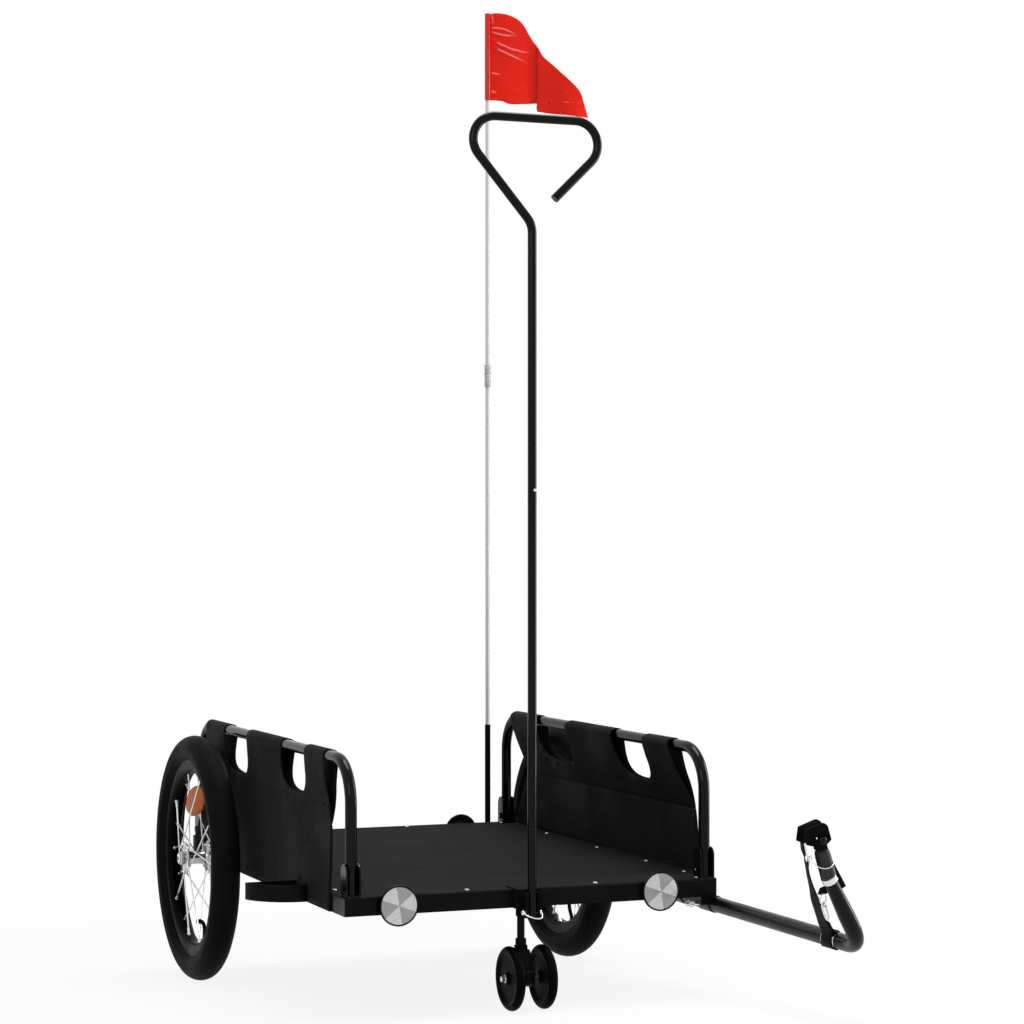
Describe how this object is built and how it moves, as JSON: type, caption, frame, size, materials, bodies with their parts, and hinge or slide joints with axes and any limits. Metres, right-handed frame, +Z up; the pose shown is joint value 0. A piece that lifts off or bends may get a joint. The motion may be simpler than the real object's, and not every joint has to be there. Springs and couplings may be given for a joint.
{
  "type": "bicycle trailer",
  "caption": "Flatbed bicycle trailer with spoked wheels, fabric-sided hoops, a swivel caster, a pull handle, a bent tow arm and a safety flag on a rod.",
  "frame": {"origin": "on the floor under the middle of the overall box, with the trailer standing on its two big wheels and its caster", "axes": "+Z up, -Y the trailer's front where the tow arm reaches out, +X the trailer's left"},
  "size_m": [0.8198, 1.3658, 1.6677],
  "materials": {
    "tyre_rubber": "matt black rubber",
    "rim_black": "satin black",
    "zinc_steel": "bright zinc plate",
    "amber_reflector": "clear amber plastic",
    "clear_reflector": "clear plastic over silver prisms",
    "red_reflector": "clear red plastic",
    "black_fabric": "coated polyester",
    "black_webbing": "woven nylon webbing",
    "deck_sheet": "fine-grained sheet",
    "red_pennant": "glossy vinyl",
    "white_rod": "white glass-fibre rod",
    "clear_ferrule": "translucent plastic",
    "black_plastic": "moulded plastic",
    "caster_black": "moulded rubber on plastic",
    "hitch_rubber": "ribbed rubber",
    "arm_paint": "glossy dark paint",
    "black_paint": "gloss black powder coat"
  },
  "bodies": {
    "chassis": {"rail_front": "black_paint", "rail_rear": "black_paint", "rail_left": "black_paint", "rail_right": "black_paint", "crossbar_front": "black_paint", "crossbar_axle": "black_paint", "deck_panel": "deck_sheet", "front_bracket": "black_paint", "handle_pin": "zinc_steel", "bumper_left": "black_paint", "bumper_right": "black_paint", "hoop_left": "black_paint", "hoop_right": "black_paint", "hoop_bracket_front_left": "black_paint", "hoop_bracket_front_right": "black_paint", "hoop_bracket_rear_left": "black_paint", "hoop_bracket_rear_right": "black_paint", "side_panel_left": "black_fabric", "side_panel_right": "black_fabric", "stub_axle_left": "zinc_steel", "stub_axle_right": "zinc_steel", "reflector_front_left": "clear_reflector", "reflector_front_right": "clear_reflector", "reflector_rear_left": "red_reflector", "reflector_rear_right": "red_reflector", "flag_clip": "black_plastic", "flag_sleeve": "black_plastic", "flag_rod_lower": "white_rod", "flag_rod_upper": "white_rod", "flag_ferrule": "clear_ferrule", "flag_pennant": "red_pennant", "caster_post": "black_paint", "tow_arm": "arm_paint", "tow_sleeve_front": "arm_paint", "tow_sleeve_rear": "arm_paint", "tow_lock_pin": "zinc_steel", "coupler_ring": "zinc_steel", "hitch_rubber": "hitch_rubber", "hitch_knuckle": "black_paint", "hitch_bolt": "zinc_steel", "tow_strap": "black_webbing", "hook_strap": "black_webbing"},
    "wheel_left": {"tyre_left": "tyre_rubber", "rim_left": "rim_black", "hub_left": "zinc_steel", "spokes_left": "zinc_steel", "spoke_reflector_left": "amber_reflector"},
    "wheel_right": {"tyre_right": "tyre_rubber", "rim_right": "rim_black", "hub_right": "zinc_steel", "spokes_right": "zinc_steel", "spoke_reflector_right": "amber_reflector"},
    "caster": {"caster_fork": "black_plastic", "caster_axle": "zinc_steel"},
    "caster_wheels": {"caster_wheel_left": "caster_black", "caster_wheel_right": "caster_black"},
    "handle": {"handle_lower": "black_paint", "handle_upper": "black_paint"},
    "hitch": {"hitch_bracket": "black_paint"}
  },
  "joints": [
    {"name": "wheel_left_spin", "type": "hinge", "parent": "chassis", "child": "wheel_left", "pos_m": [0.28832, 0.48289, 0.2], "axis": [1, 0, 0], "continuous": true},
    {"name": "wheel_right_spin", "type": "hinge", "parent": "chassis", "child": "wheel_right", "pos_m": [-0.36468, 0.48289, 0.2], "axis": [1, 0, 0], "continuous": true},
    {"name": "caster_swivel", "type": "hinge", "parent": "chassis", "child": "caster", "pos_m": [-0.05668, -0.17359, 0.10166], "axis": [0, -0.0654, 0.9979], "continuous": true},
    {"name": "caster_roll", "type": "hinge", "parent": "caster", "child": "caster_wheels", "pos_m": [-0.05668, -0.19252, 0.0465], "axis": [1, 0, 0], "continuous": true},
    {"name": "handle_fold", "type": "hinge", "parent": "chassis", "child": "handle", "pos_m": [-0.05668, -0.21982, 0.14192], "axis": [1, 0, 0], "range_deg": [0, 85]},
    {"name": "hitch_swing", "type": "hinge", "parent": "chassis", "child": "hitch", "pos_m": [0.16989, -0.66742, 0.25776], "axis": [0, -0.973, -0.2307], "range_deg": [-30, 30]}
  ]
}
